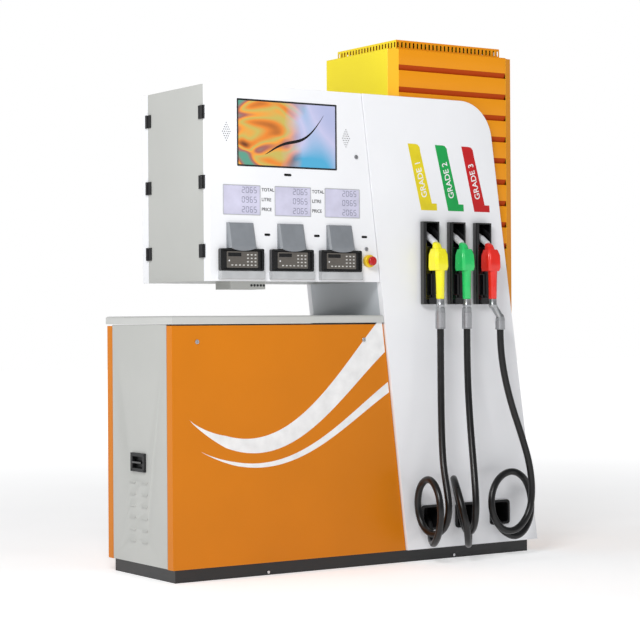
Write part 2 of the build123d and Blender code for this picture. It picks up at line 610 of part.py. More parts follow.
def nozzle_lever(x):
    """Squeeze lever with its pin."""
    lever = block(x - 6, x + 6, LEVER_Y - 2, LEVER_Y + 3, 1150, LEVER_Z)
    lever += cylinder_x(LEVER_Y, LEVER_Z, 3.5, x - 6, x + 6)
    return lever + cylinder_x(LEVER_Y, LEVER_Z, LEVER_PIN, x - 10, x + 10)


def nozzle_spout(x):
    """Open spout tube, from the nose to its tip inside the boot."""
    length = SPOUT_END - SPOUT_START
    middle = spout_axis(x, (SPOUT_START + SPOUT_END) / 2)
    spout = middle * Cylinder(12.5, length)
    return spout - middle * Cylinder(9.5, length + 2)


def hose_coupling(x, hose_x, bottom):
    """Swivel under the grip and the crimped sleeve that holds the hose."""
    swivel_z, sleeve_top, sleeve_radius = 1106.0, 1094.0, 20.0
    coupling = cylinder_z(x, GRIP_Y, 17, swivel_z + 4, GRIP_BOTTOM)
    coupling += Pos(x, GRIP_Y, swivel_z) * Sphere(18)
    if hose_x == x:
        coupling += cylinder_z(x, GRIP_Y, 16, sleeve_top - 10, swivel_z)
    else:
        elbow_z, sleeve_top = 1052.0, 1050.0
        start, end = Vector(x, GRIP_Y, swivel_z), Vector(hose_x, GRIP_Y, elbow_z)
        middle = Plane(origin=(start + end) * 0.5, z_dir=end - start)
        coupling += middle * Cylinder(15, (end - start).length)
        coupling += Pos(hose_x, GRIP_Y, elbow_z) * Sphere(17.5)
    return coupling + cylinder_z(hose_x, GRIP_Y, sleeve_radius, bottom, sleeve_top)


def hose_outlet(x):
    """Deep black cup behind the sail, with a raised rim and a hose tail at its back."""
    rim, half_width, wall = 55.0, 49.0, 5.0
    z, back, half_mouth = OUTLET_Z, OUTLET_BACK, half_width - wall
    cup = block(x - rim, x + rim, -SAIL_FACE - 7, -SAIL_FACE, z - rim + 1, z + rim - 1)
    cup = fillet(cup.edges().filter_by(Axis.Y), 16)
    cup += block(x - half_width, x + half_width, -SAIL_FACE, back, z - half_width, z + half_width)
    hollow = block(x - half_mouth, x + half_mouth, -SAIL_FACE - 8, back - wall,
                   z - half_mouth, z + half_mouth)
    cup -= fillet(hollow.edges().filter_by(Axis.Y), 12)
    return cup + cylinder_y(x, z, 19, back - 20, back)


def hose(route, label):
    """A tube along straight runs joined by tangent arcs; prints its radii and length."""
    points = [Vector(*point) for point in route]
    runs = [b - a for a, b in zip(points, points[1:])]
    radii = []
    for before, after in zip(runs, runs[1:]):
        half_turn = math.radians(before.get_angle(after)) / 2
        radii.append(0.45 * min(before.length, after.length) / math.tan(half_turn))
    path = FilletPolyline(*points, radius=radii)
    start = Plane(origin=points[0], z_dir=runs[0])
    tube = sweep(start * Circle(HOSE_RADIUS), path=path)
    expected = math.pi * HOSE_RADIUS ** 2 * path.length
    print(label, "radii", [round(radius) for radius in radii])
    print(label, "length", round(path.length), "volume ratio", round(tube.volume / expected, 4))
    return tube


# ---- hydraulics and electronics ----
def pump_unit():
    """Self-priming pump with air separator, raised lid, blind shaft bore and suction pipe."""
    half_width, front, back, top = 100.0, -140.0, 100.0, 380.0
    pump = block(PUMP_X - half_width, PUMP_X + half_width, front, back, SHELF_TOP, top)
    pump = fillet(pump.edges().filter_by(Axis.Z), 15)
    pump += cylinder_z(PUMP_X, -20, 60, top, top + 30)
    pump += cylinder_z(PUMP_X, 0, SUCTION_RADIUS, SUCTION_BOTTOM, SHELF_TOP)
    pump -= cylinder_z(PUMP_X, 0, SUCTION_BORE, SUCTION_BOTTOM - 1, SHELF_TOP)
    return pump - cylinder_y(PUMP_X, PUMP_Z, SHAFT_RADIUS + RUNNING_GAP, -141, SHAFT_BACK + 2)


def pump_motor():
    """Flameproof motor on feet, with a terminal box."""
    motor = cylinder_y(MOTOR_X, MOTOR_Z, 78, -140, 90)
    motor += block(MOTOR_X - 60, MOTOR_X + 60, -100, 50, SHELF_TOP, MOTOR_Z - 40)
    motor += block(MOTOR_X - 35, MOTOR_X + 35, -70, 20, MOTOR_Z + 60, MOTOR_Z + 110)
    return motor - cylinder_y(MOTOR_X, MOTOR_Z, SHAFT_RADIUS + RUNNING_GAP, -141, SHAFT_BACK + 2)


def pulley(x, z, radius):
    """Belt pulley with its shaft."""
    front, width, rim, hub = SHAFT_FRONT, 25.0, 12.0, 22.0
    wheel = cylinder_y(x, z, radius, front, front + width)
    wheel -= cylinder_y(x, z, radius - rim, front - 1, front + 7)
    wheel += cylinder_y(x, z, hub, front, front + 15)
    return wheel + cylinder_y(x, z, SHAFT_RADIUS, front, SHAFT_BACK)


def belt_loop(grow):
    """The area enclosed by a line around both pulleys, offset by grow."""
    dx, dz = MOTOR_X - PUMP_X, MOTOR_Z - PUMP_Z
    reach = math.hypot(dx, dz)
    base = math.atan2(dz, dx)
    lean = math.acos((PUMP_PULLEY_RADIUS - MOTOR_PULLEY_RADIUS) / reach)
    corners = []
    for centre_x, centre_z, radius, order in (
            (PUMP_X, PUMP_Z, PUMP_PULLEY_RADIUS + grow, (1, -1)),
            (MOTOR_X, MOTOR_Z, MOTOR_PULLEY_RADIUS + grow, (-1, 1))):
        for sign in order:
            angle = base + sign * lean
            corners.append((centre_x + radius * math.cos(angle), centre_z + radius * math.sin(angle)))
    loop = outline(*corners)
    loop += Pos(PUMP_X, PUMP_Z) * Circle(PUMP_PULLEY_RADIUS + grow)
    return loop + Pos(MOTOR_X, MOTOR_Z) * Circle(MOTOR_PULLEY_RADIUS + grow)


def drive_belt():
    """Flat-sided belt just clear of the turning pulleys."""
    front, back, thickness, clearance = SHAFT_FRONT + 3, SHAFT_FRONT + 22, 7.6, 0.4
    belt = slab_y(belt_loop(clearance + thickness), front, back)
    return belt - slab_y(belt_loop(clearance), front - 1, back + 1)


def flow_meter(x):
    """Piston meter with its pulser on top."""
    half_width, half_depth, body_top = 36.0, 60.0, 240.0
    meter = block(x - half_width, x + half_width, -half_depth, half_depth, SHELF_TOP, body_top)
    meter = fillet(meter.edges().filter_by(Axis.Z), 12)
    return meter + cylinder_z(x, 0, 30, body_top, METER_TOP)


def pipe(points, radius):
    """Pipe with tight bends."""
    path = FilletPolyline(*points, radius=radius * 1.6)
    direction = Vector(*points[1]) - Vector(*points[0])
    return sweep(Plane(origin=points[0], z_dir=direction) * Circle(radius), path=path)


def product_pipes():
    """A riser from each meter to its hose outlet, and the manifold from the pump."""
    heights, riser_radius = (390.0, 350.0, 310.0), 13.0
    pipes = []
    for meter_x, outlet_x, z in zip(METER_X, reversed(OUTLET_X), heights):
        route = [(meter_x, 0, METER_TOP), (meter_x, 0, z), (outlet_x, 0, z),
                 (outlet_x, 0, OUTLET_Z), (outlet_x, OUTLET_BACK, OUTLET_Z)]
        pipes.append(pipe(route, riser_radius))
    y, z, manifold_radius, branch_radius = 140.0, 180.0, 15.0, 12.0
    manifold = pipe([(PUMP_X, 100, z), (PUMP_X, y, z), (METER_X[-1] + 30, y, z)], manifold_radius)
    for meter_x in METER_X:
        manifold += cylinder_y(meter_x, z, branch_radius, 60, y)
    pipes.append(manifold)
    return pipes


def control_electronics():
    """Card cage on the head casing's floor, with five card slots."""
    left, right, top, front = -690.0, -190.0, 1500.0, -60.0
    slot_left, pitch, slot_width, slot_depth = -670.0, 98.0, 68.0, 15.0
    cage = block(left, right, front, 100, HEAD_BOTTOM + SHEET, top)
    for i in range(5):
        x = slot_left + i * pitch
        cage -= block(x, x + slot_width, front - 1, front + slot_depth, 1240, top - 20)
    return cage


os.makedirs("parts", exist_ok=True)

export("plinth_frame", plinth_frame())
export("cabinet_frame", cabinet_frame())
export("cabinet_side_panel", cabinet_side_panel())
export("cabinet_top_cover", cabinet_top_cover())
export("front_cabinet_door", cabinet_door(CABINET_LOCKS))
export("rear_cabinet_door", mirrored(cabinet_door([REAR_CABINET_LOCK])))
export("isolator_housing", isolator_housing())
export("isolator_handle", isolator_handle())
for side_name, (lock_x, lock_z) in zip(("left", "right"), CABINET_LOCKS):
    export(f"front_door_{side_name}_lock", cam_lock(lock_x, lock_z, -HALF_DEPTH, -1))
export("rear_door_lock", cam_lock(*REAR_CABINET_LOCK, HALF_DEPTH, 1))

export("mast_frame", mast_frame())
export("module_side_wall", module_side_wall())
export("front_sail_panel", front_sail_panel())
export("rear_sail_panel", mirrored(sail_panel()))
export("mast_claddings", *mast_side_claddings(), front_rib_panel(), mirrored(mast_rib_panel()))
export("mast_vent_cap", mast_vent_cap())

export("head_casing", head_casing())
export("head_junction_box", head_junction_box())
export("head_front_door", head_front_door())
export("head_rear_door", rear_head_door())
export("casing_hinge_leaves", *[head_hinge_base(z) for z in HINGE_HEIGHTS],
       *[mirrored(head_hinge_base(z)) for z in HINGE_HEIGHTS])
export("front_hinge_leaves", *[head_hinge_leaf(z) for z in HINGE_HEIGHTS])
export("rear_hinge_leaves", *[mirrored(head_hinge_leaf(z)) for z in HINGE_HEIGHTS])
export("advert_screen", advert_screen())
export("sales_displays", *[sales_display(x) for x in DISPLAY_X])
export("keypads", *[keypad_housing(x) for x in KEYPAD_X], *[keypad_plate(x) for x in KEYPAD_X])
export("keypad_hoods", *[keypad_hood(x) for x in KEYPAD_X])
export("keypad_ledges", *[keypad_ledge(x) for x in KEYPAD_X])
export("sensor_windows", *[sensor_window(*window) for window in SENSOR_WINDOWS])
export("stop_button_collar", stop_button_collar())
export("stop_button", stop_button())
export("head_front_upper_lock", cam_lock(*HEAD_LOCKS[0], -HEAD_FACE, -1))
export("head_front_lower_lock", cam_lock(*HEAD_LOCKS[1], -HEAD_FACE, -1))
export("head_rear_lock", cam_lock(*REAR_HEAD_LOCK, HEAD_FACE, 1))
export("control_electronics", control_electronics())

export("nozzle_boots", *[nozzle_boot(x) for x in BOOT_X])
export("hose_outlets", *[hose_outlet(x) for x in OUTLET_X])
for number, (boot_x, route) in enumerate(zip(BOOT_X, HOSE_ROUTES), start=1):
    hose_x, _, hose_top = route[0]
    export(f"nozzle_body_{number}", nozzle_body(boot_x))
    export(f"nozzle_spout_{number}", nozzle_spout(boot_x))
    export(f"nozzle_lever_{number}", nozzle_lever(boot_x))
    export(f"hose_coupling_{number}", hose_coupling(boot_x, hose_x, hose_top))
    export(f"hose_{number}", hose(route, f"hose_{number}"))

export("pump_unit", pump_unit())
export("pump_motor", pump_motor())
export("pump_pulley", pulley(PUMP_X, PUMP_Z, PUMP_PULLEY_RADIUS))
export("motor_pulley", pulley(MOTOR_X, MOTOR_Z, MOTOR_PULLEY_RADIUS))
export("drive_belt", drive_belt())
export("flow_meters", *[flow_meter(x) for x in METER_X])
export("product_pipes", *product_pipes())
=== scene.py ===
import bmesh
import bpy
import json
import math
from mathutils import Matrix, Vector


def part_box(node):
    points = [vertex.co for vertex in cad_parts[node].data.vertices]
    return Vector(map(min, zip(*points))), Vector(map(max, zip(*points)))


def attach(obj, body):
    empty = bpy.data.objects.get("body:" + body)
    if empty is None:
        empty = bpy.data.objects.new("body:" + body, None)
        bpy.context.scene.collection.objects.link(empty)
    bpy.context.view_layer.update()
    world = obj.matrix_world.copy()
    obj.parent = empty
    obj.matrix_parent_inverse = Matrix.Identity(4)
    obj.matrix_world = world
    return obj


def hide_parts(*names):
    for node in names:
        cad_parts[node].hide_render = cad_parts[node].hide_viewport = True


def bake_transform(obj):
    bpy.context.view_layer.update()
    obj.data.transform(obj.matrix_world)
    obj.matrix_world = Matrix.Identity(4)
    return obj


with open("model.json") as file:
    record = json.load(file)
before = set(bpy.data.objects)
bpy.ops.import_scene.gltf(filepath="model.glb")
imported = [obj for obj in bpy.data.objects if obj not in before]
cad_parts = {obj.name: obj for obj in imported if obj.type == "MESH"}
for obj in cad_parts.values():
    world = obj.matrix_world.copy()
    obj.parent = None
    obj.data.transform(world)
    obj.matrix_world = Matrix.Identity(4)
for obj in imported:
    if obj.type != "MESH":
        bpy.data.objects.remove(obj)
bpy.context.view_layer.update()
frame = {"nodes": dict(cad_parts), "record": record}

NODE_BODY = {node: body for body, nodes in frame["record"]["behaviour"]["bodies"].items() for node in nodes}
DOOR_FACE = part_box("front_cabinet_door")[0].y
HEAD_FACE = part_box("head_front_door")[0].y
SAIL_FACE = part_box("front_sail_panel")[0].y
NUMBERS = (1, 2, 3)
SHEET_EDGE = 0.0009              # edge rounding of 2 mm sheet: under half its thickness


# ---- colours and materials ----
def srgb(red, green, blue):
    """A colour given as 0-255 screen values, as linear RGBA."""
    linear = [(value / 255) ** 2.2 for value in (red, green, blue)]
    return (*linear, 1.0)


def shaded(colour, factor):
    """The same colour, lighter or darker."""
    return (*[min(1.0, channel * factor) for channel in colour[:3]], 1.0)


class Material:
    """A node material under construction; positions come from object coordinates, in metres."""

    def __init__(self, name):
        self.data = bpy.data.materials.new(name)
        self.data.use_nodes = True
        self.nodes = self.data.node_tree.nodes
        self.links = self.data.node_tree.links
        self.shader = self.nodes["Principled BSDF"]
        self.position = self.nodes.new("ShaderNodeTexCoord").outputs["Object"]

    def stretched(self, scale):
        """Object coordinates stretched along each axis."""
        mapping = self.nodes.new("ShaderNodeMapping")
        mapping.inputs["Scale"].default_value = scale
        self.links.new(self.position, mapping.inputs["Vector"])
        return mapping.outputs["Vector"]

    def noise(self, scale, detail=3.0, vector=None, distortion=0.0):
        """Noise between 0 and 1."""
        node = self.nodes.new("ShaderNodeTexNoise")
        node.inputs["Scale"].default_value = scale
        node.inputs["Detail"].default_value = detail
        node.inputs["Distortion"].default_value = distortion
        self.links.new(vector or self.position, node.inputs["Vector"])
        return node.outputs["Fac"]

    def ramp(self, value, stops):
        """A colour ramp through (place, colour) stops."""
        node = self.nodes.new("ShaderNodeValToRGB")
        elements = node.color_ramp.elements
        while len(elements) < len(stops):
            elements.new(0.5)
        for element, (place, colour) in zip(elements, stops):
            element.position = place
            element.color = colour
        self.links.new(value, node.inputs["Fac"])
        return node.outputs["Color"]

    def mix(self, factor, first, second):
        """A blend of two colours or colour sockets."""
        node = self.nodes.new("ShaderNodeMix")
        node.data_type = "RGBA"
        for name, value in (("Factor", factor), ("A", first), ("B", second)):
            socket = [item for item in node.inputs if item.name == name and item.enabled][0]
            if isinstance(value, bpy.types.NodeSocket):
                self.links.new(value, socket)
            else:
                socket.default_value = value
        return [item for item in node.outputs if item.enabled][0]

    def span(self, value, low, high):
        """A 0-1 value spread from low to high."""
        node = self.nodes.new("ShaderNodeMapRange")
        node.inputs["To Min"].default_value = low
        node.inputs["To Max"].default_value = high
        self.links.new(value, node.inputs["Value"])
        return node.outputs["Result"]

    def bump(self, height, depth, strength=1.0):
        """Feeds a height into the shader's normal; depth is in metres."""
        node = self.nodes.new("ShaderNodeBump")
        node.inputs["Strength"].default_value = strength
        node.inputs["Distance"].default_value = depth
        self.links.new(height, node.inputs["Height"])
        self.links.new(node.outputs["Normal"], self.shader.inputs["Normal"])

    def colour(self, socket):
        self.links.new(socket, self.shader.inputs["Base Color"])

    def roughness(self, socket):
        self.links.new(socket, self.shader.inputs["Roughness"])

    def set(self, **values):
        for name, value in values.items():
            self.shader.inputs[name.replace("_", " ")].default_value = value


def paint(name, colour, roughness=0.32, mottle=0.03, coat=0.25, gloss=0.5):
    """Powder-coated sheet: a little orange peel, cloudy tone and uneven gloss."""
    material = Material(name)
    clouds = material.noise(3.0, 4.0)
    tones = [(0.25, shaded(colour, 1 - mottle)), (0.75, shaded(colour, 1 + mottle))]
    material.colour(material.ramp(clouds, tones))
    material.roughness(material.span(material.noise(14.0), roughness - 0.05, roughness + 0.06))
    material.bump(material.noise(420.0, 2.0), 0.00035, 0.35)
    material.set(Coat_Weight=coat, Coat_Roughness=0.12, Specular_IOR_Level=gloss)
    return material.data


def plastic(name, colour, roughness=0.3, grain=900.0, depth=0.0003, coat=0.0):
    """Moulded plastic with a fine grain."""
    material = Material(name)
    tone = material.noise(18.0, 5.0)
    material.colour(material.ramp(tone, [(0.3, shaded(colour, 0.92)), (0.7, shaded(colour, 1.08))]))
    material.roughness(material.span(material.noise(60.0), roughness - 0.06, roughness + 0.08))
    material.bump(material.noise(grain, 2.0), depth, 0.4)
    material.set(Coat_Weight=coat, Coat_Roughness=0.06)
    return material.data


def metal(name, colour, roughness=0.25, stretch=(30.0, 900.0, 900.0)):
    """Drawn or brushed metal, its scratches along the axis with the smallest stretch."""
    material = Material(name)
    scratches = material.noise(1.0, 4.0, material.stretched(stretch))
    material.colour(material.ramp(scratches, [(0.3, shaded(colour, 0.88)), (0.7, shaded(colour, 1.08))]))
    material.roughness(material.span(scratches, roughness - 0.08, roughness + 0.12))
    material.bump(scratches, 0.0001, 0.3)
    material.set(Metallic=1.0)
    return material.data


def rubber(name, colour):
    """Extruded hose rubber: fine mould lines and a dull bloom."""
    material = Material(name)
    bloom = material.noise(35.0, 6.0)
    material.colour(material.ramp(bloom, [(0.35, shaded(colour, 0.8)), (0.75, shaded(colour, 1.9))]))
    material.roughness(material.span(bloom, 0.22, 0.4))
    material.bump(material.noise(700.0, 2.0), 0.0002, 0.5)
    return material.data


def abstract_picture(name):
    """The screen's generic wallpaper: warm folds on the left that cool to blue on the right."""
    material = Material(name)
    separate = material.nodes.new("ShaderNodeSeparateXYZ")
    material.links.new(material.position, separate.inputs["Vector"])
    low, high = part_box("advert_screen")
    across = material.nodes.new("ShaderNodeMapRange")
    across.inputs["From Min"].default_value = low.x
    across.inputs["From Max"].default_value = high.x
    material.links.new(separate.outputs["X"], across.inputs["Value"])
    warm = material.ramp(material.noise(3.4, 0.6, material.stretched((1.0, 1.0, 2.1)), 1.4), [
        (0.28, srgb(110, 60, 30)), (0.40, srgb(225, 130, 50)), (0.47, srgb(190, 175, 90)),
        (0.53, srgb(235, 150, 60)), (0.60, srgb(160, 95, 90)), (0.72, srgb(90, 150, 130))])
    cool = material.ramp(material.noise(2.6, 0.4, material.stretched((1.5, 1.0, 0.9)), 0.9), [
        (0.30, srgb(90, 110, 160)), (0.45, srgb(150, 165, 205)), (0.55, srgb(190, 190, 222)),
        (0.68, srgb(80, 165, 205))])
    place = material.nodes.new("ShaderNodeMath")
    place.operation = "ADD"
    material.links.new(across.outputs["Result"], place.inputs[0])
    material.links.new(material.span(material.noise(6.0, 2.0), -0.25, 0.25), place.inputs[1])
    sides = material.ramp(place.outputs[0], [(0.40, (0, 0, 0, 1)), (0.62, (1, 1, 1, 1))])
    picture = material.mix(sides, warm, cool)
    material.colour(picture)
    material.links.new(picture, material.shader.inputs["Emission Color"])
    material.set(Emission_Strength=0.12, Roughness=0.12, Coat_Weight=0.6, Coat_Roughness=0.03)
    return material.data


ORANGE = srgb(238, 150, 10)
WHITE = srgb(243, 244, 247)
M = {
    "white": paint("white_paint", WHITE, 0.3),
    "cover": paint("cover_paint", srgb(196, 197, 194), 0.36, 0.03, 0.1),
    "grey": paint("grey_paint", srgb(184, 185, 181), 0.4),
    "inner_wall": paint("inner_wall_paint", srgb(196, 201, 206), 0.38),
    "orange": paint("door_orange_paint", srgb(212, 122, 2), 0.42, 0.04, 0.04, 0.25),
    # painted light: yellow and brighter orange copies of the mast orange for the left side and the left
    # corner strip
    "left_side_painted_light": paint("mast_side_painted_light", srgb(255, 232, 44), 0.4, 0.03, 0.1),
    "corner_painted_light": paint("mast_corner_painted_light", srgb(252, 184, 30), 0.34),
    "mast_front": paint("mast_front_paint", ORANGE, 0.42, 0.03, 0.04, 0.25),
    # painted shade: a darker copy of the mast orange for the grooves' downward faces
    "groove_painted_shade": paint("mast_groove_painted_shade", srgb(178, 66, 2), 0.6, 0.03, 0.0, 0.15),
    "plinth": paint("plinth_paint", srgb(24, 24, 25), 0.45, 0.1),
    "galvanised": metal("galvanised_sheet", srgb(160, 163, 166), 0.4, (60.0, 60.0, 60.0)),
    "black": plastic("black_plastic", srgb(26, 26, 28), 0.45),
    "gloss_black": plastic("gloss_black_plastic", srgb(12, 12, 14), 0.16, 300.0, 0.0001, 0.5),
    "boot": plastic("boot_plastic", srgb(20, 20, 22), 0.14, 300.0, 0.0001, 0.9),
    "hood": plastic("hood_plastic", srgb(128, 132, 137), 0.4),
    "ledge": plastic("ledge_plastic", srgb(184, 186, 188), 0.35),
    "lcd": plastic("display_glass", srgb(208, 206, 228), 0.14, 200.0, 0.00005, 0.6),
    "ink": plastic("display_ink", srgb(122, 124, 146), 0.4),
    "label": plastic("label_ink", srgb(48, 49, 54), 0.5),
    "vinyl": plastic("white_vinyl", srgb(238, 238, 238), 0.32, 150.0, 0.0001),
    "chrome": metal("lock_chrome", srgb(205, 205, 208), 0.16),
    "steel": metal("swivel_steel", srgb(176, 178, 180), 0.28, (500.0, 500.0, 40.0)),
    "aluminium": plastic("spout_aluminium", srgb(225, 226, 229), 0.3, 500.0, 0.0001, 0.3),
    "sleeve": metal("sleeve_steel", srgb(172, 173, 176), 0.3, (500.0, 500.0, 60.0)),
    "rubber": rubber("hose_rubber", srgb(15, 15, 16)),
    "stop_red": plastic("stop_red_plastic", srgb(190, 22, 18), 0.25, 300.0, 0.0001, 0.4),
    "stop_yellow": plastic("stop_yellow_plastic", srgb(240, 200, 30), 0.3),
    "key": plastic("key_marks", srgb(205, 204, 200), 0.35),
    "keypad": metal("keypad_sheet", srgb(128, 123, 117), 0.4, (40.0, 600.0, 600.0)),
    "picture": abstract_picture("screen_picture"),
    "iron": plastic("painted_iron", srgb(84, 96, 118), 0.5, 260.0, 0.001),
    "cast": metal("cast_aluminium", srgb(170, 172, 175), 0.45, (90.0, 90.0, 90.0)),
}
GRADES = [
    ("yellow", plastic("grade_yellow", srgb(250, 238, 26), 0.24, 400.0, 0.0002, 0.4), srgb(228, 208, 30)),
    ("green", plastic("grade_green", srgb(38, 200, 104), 0.24, 400.0, 0.0002, 0.4), srgb(14, 160, 76)),
    ("red", plastic("grade_red", srgb(238, 38, 22), 0.24, 400.0, 0.0002, 0.4), srgb(196, 18, 24)),
]


# ---- shared mesh helpers ----
def piece_from_mesh(name, mesh, materials, body, stands_for=()):
    """Links a mesh as a piece that rides on a body."""
    piece = bpy.data.objects.new(name, mesh)
    bpy.context.scene.collection.objects.link(piece)
    for material in materials:
        piece.data.materials.append(material)
    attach(piece, body)
    if stands_for:
        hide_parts(*stands_for)
    return piece


def smooth(mesh, angle=20):
    """Smooth shading that keeps edges sharper than the angle."""
    mesh.shade_smooth()
    mesh.set_sharp_from_angle(angle=math.radians(angle))


def add_bevel(piece, width, segments=2):
    """Rounds the piece's sharp edges, as folding and moulding do."""
    modifier = piece.modifiers.new("edges", "BEVEL")
    modifier.width = width
    modifier.segments = segments
    modifier.limit_method = "ANGLE"
    modifier.angle_limit = math.radians(35)
    modifier.harden_normals = True


def skin(node, material, width=SHEET_EDGE, choose=None, extra=()):
    """A rounded-edge copy of a CAD node; choose(face) can give a face one of the extra materials."""
    mesh = frame["nodes"][node].data.copy()
    mesh.materials.clear()
    shape = bmesh.new()
    shape.from_mesh(mesh)
    bmesh.ops.remove_doubles(shape, verts=shape.verts, dist=1e-6)
    bmesh.ops.dissolve_limit(shape, angle_limit=math.radians(0.5), verts=shape.verts, edges=shape.edges)
    for face in shape.faces:
        face.material_index = choose(face) if choose else 0
    shape.to_mesh(mesh)
    shape.free()
    smooth(mesh)
    materials = [material, *extra]
    piece = piece_from_mesh(f"{node}_skin", mesh, materials, NODE_BODY[node], [node])
    add_bevel(piece, width)
    return piece


def plate(name, outline, y, thickness, material, body, bevel=0.0):
    """A flat piece on a front face: an X-Z outline standing thickness proud of y, towards the customer."""
    shape = bmesh.new()
    back = [shape.verts.new((x, y, z)) for x, z in outline]
    front = [shape.verts.new((x, y - thickness, z)) for x, z in outline]
    shape.faces.new(front)
    shape.faces.new(list(reversed(back)))
    for i in range(len(outline)):
        j = (i + 1) % len(outline)
        shape.faces.new((back[i], back[j], front[j], front[i]))
    bmesh.ops.recalc_face_normals(shape, faces=shape.faces)
    mesh = bpy.data.meshes.new(name)
    shape.to_mesh(mesh)
    shape.free()
    piece = piece_from_mesh(name, mesh, [material], body)
    if bevel:
        add_bevel(piece, bevel)
    return piece


def rectangle(x, z, width, height):
    """A rectangle's outline about its centre."""
    return [(x - width / 2, z - height / 2), (x + width / 2, z - height / 2),
            (x + width / 2, z + height / 2), (x - width / 2, z + height / 2)]


def rounded_rectangle(x, z, width, height, radius, steps=5):
    """A rectangle's outline with round corners."""
    points = []
    for corner in range(4):
        side_x, side_z = (1, 1, -1, -1)[corner], (-1, 1, 1, -1)[corner]
        centre_x = x + side_x * (width / 2 - radius)
        centre_z = z + side_z * (height / 2 - radius)
        for step in range(steps + 1):
            angle = math.radians(-90 + 90 * corner + 90 * step / steps)
            points.append((centre_x + radius * math.cos(angle), centre_z + radius * math.sin(angle)))
    return points


def frame_ring(name, x, z, width, height, border, y, thickness, material, body):
    """A flat rectangular frame around a window."""
    outer = rounded_rectangle(x, z, width + 2 * border, height + 2 * border, 0.004)
    inner = rounded_rectangle(x, z, width, height, 0.002)
    shape = bmesh.new()
    rings = [[shape.verts.new((px, py, pz)) for px, pz in ring] for ring, py in (
        (outer, y), (outer, y - thickness), (inner, y - thickness), (inner, y))]
    for first, second in zip(rings, rings[1:] + rings[:1]):
        for i in range(len(outer)):
            j = (i + 1) % len(outer)
            shape.faces.new((first[i], first[j], second[j], second[i]))
    bmesh.ops.recalc_face_normals(shape, faces=shape.faces)
    mesh = bpy.data.meshes.new(name)
    shape.to_mesh(mesh)
    shape.free()
    return piece_from_mesh(name, mesh, [material], body)


def boxes(name, cuboids, material, body, bevel=0.0008):
    """Small bevelled blocks as one piece, each (x, y, z, width, depth, height) about its centre."""
    shape = bmesh.new()
    for x, y, z, width, depth, height in cuboids:
        matrix = Matrix.Translation((x, y, z)) @ Matrix.Diagonal((width, depth, height, 1))
        bmesh.ops.create_cube(shape, size=1, matrix=matrix)
    mesh = bpy.data.meshes.new(name)
    shape.to_mesh(mesh)
    shape.free()
    piece = piece_from_mesh(name, mesh, [material], body)
    add_bevel(piece, bevel)
    return piece


def lathe(name, profile, place, material, body, stands_for=(), segments=40):
    """A turned piece: (distance along Z, radius) points spun about the Z axis of place."""
    shape = bmesh.new()
    rings = []
    for distance, radius in profile:
        ring = []
        for i in range(segments):
            angle = math.tau * i / segments
            ring.append(shape.verts.new((radius * math.cos(angle), radius * math.sin(angle), distance)))
        rings.append(ring)
    for first, second in zip(rings, rings[1:]):
        for i in range(segments):
            j = (i + 1) % segments
            shape.faces.new((first[i], first[j], second[j], second[i]))
    shape.faces.new(list(reversed(rings[0])))
    shape.faces.new(rings[-1])
    bmesh.ops.transform(shape, matrix=place, verts=shape.verts)
    bmesh.ops.recalc_face_normals(shape, faces=shape.faces)
    mesh = bpy.data.meshes.new(name)
    shape.to_mesh(mesh)
    shape.free()
    smooth(mesh, 40)
    return piece_from_mesh(name, mesh, [material], body, stands_for)


def lettering(name, words, x, y, z, height, material, body, turn=0.0):
    """Flat lettering on a front face, its left end at x, turned anticlockwise."""
    curve = bpy.data.curves.new(name, "FONT")
    curve.body = words
    curve.size = height
    curve.extrude = 0.0002
    curve.offset = height * 0.012
    source = bpy.data.objects.new(name + "_source", curve)
    bpy.context.scene.collection.objects.link(source)
    bpy.context.view_layer.update()
    mesh = bpy.data.meshes.new_from_object(source)
    bpy.data.objects.remove(source)
    upright = Matrix.Rotation(math.radians(90), 4, "X")
    mesh.transform(Matrix.Translation((x, y, z)) @ Matrix.Rotation(-turn, 4, "Y") @ upright)
    return piece_from_mesh(name, mesh, [material], body)


# ---- camera ----
def add_camera():
    """The camera at the photograph's viewpoint, with a slight roll."""
    position = Vector((-4.619, -6.830, 1.042))
    turn, pitch, roll = math.radians(-33.852), math.radians(0.017), math.radians(-0.361)
    forward = Vector((-math.sin(turn) * math.cos(pitch), math.cos(turn) * math.cos(pitch), math.sin(pitch)))
    level_right = forward.cross(Vector((0, 0, 1))).normalized()
    level_up = level_right.cross(forward)
    right = level_right * math.cos(roll) + level_up * math.sin(roll)
    up = level_up * math.cos(roll) - level_right * math.sin(roll)
    data = bpy.data.cameras.new("camera")
    data.lens = 106.6
    data.sensor_width = 36.0
    data.clip_end = 100.0
    camera = bpy.data.objects.new("camera", data)
    rotation = Matrix((right, up, -forward)).transposed().to_4x4()
    camera.matrix_world = Matrix.Translation(position) @ rotation
    bpy.context.scene.collection.objects.link(camera)
    bpy.context.scene.camera = camera


